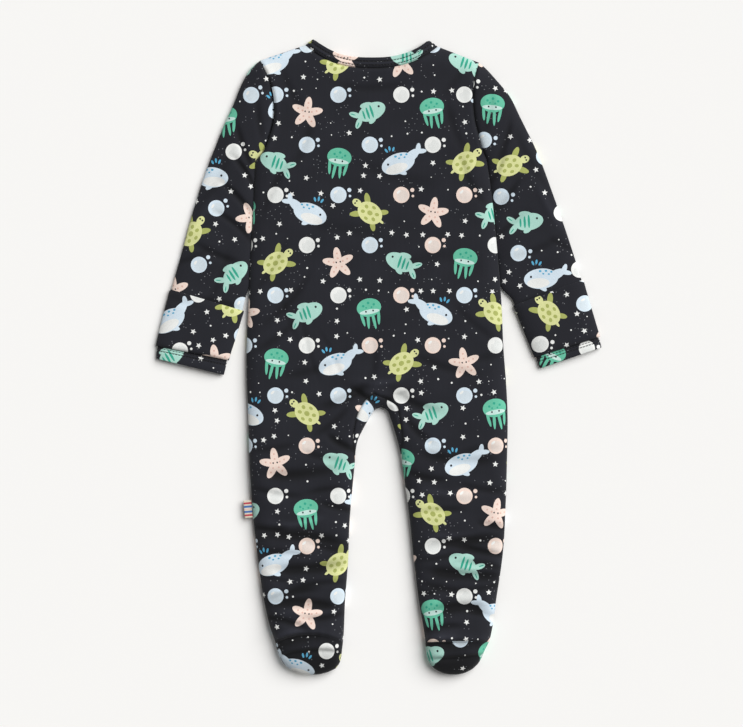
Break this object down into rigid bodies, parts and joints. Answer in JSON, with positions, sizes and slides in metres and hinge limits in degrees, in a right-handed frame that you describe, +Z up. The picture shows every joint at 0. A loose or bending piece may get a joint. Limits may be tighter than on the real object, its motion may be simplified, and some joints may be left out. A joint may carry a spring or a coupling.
{
  "type": "footed baby sleepsuit",
  "caption": "Long-sleeved footed baby sleepsuit in printed jersey with fold-over mitten cuffs, lying flat on its front with the back uppermost.",
  "frame": {"origin": "middle of the box round the suit, on the flat surface that it lies on", "axes": "+X to the wearer's right, +Y from the feet to the neck, +Z up from the surface through the front to the back"},
  "size_m": [0.4186, 0.5968, 0.0165],
  "materials": {
    "print_jersey": "matt printed cotton jersey",
    "edge_jersey": "matt printed cotton jersey, doubled and stitched",
    "tape": "woven tape, folded double"
  },
  "bodies": {
    "root": {"back": "print_jersey", "front_left": "print_jersey", "front_right": "print_jersey", "gusset": "print_jersey", "neck_band": "edge_jersey", "sleeve_left": "print_jersey", "sleeve_right": "print_jersey", "cuff_left": "edge_jersey", "cuff_right": "edge_jersey", "mitten_left": "print_jersey", "mitten_right": "print_jersey", "sole_left": "print_jersey", "sole_right": "print_jersey", "side_tab": "tape"}
  },
  "joints": []
}
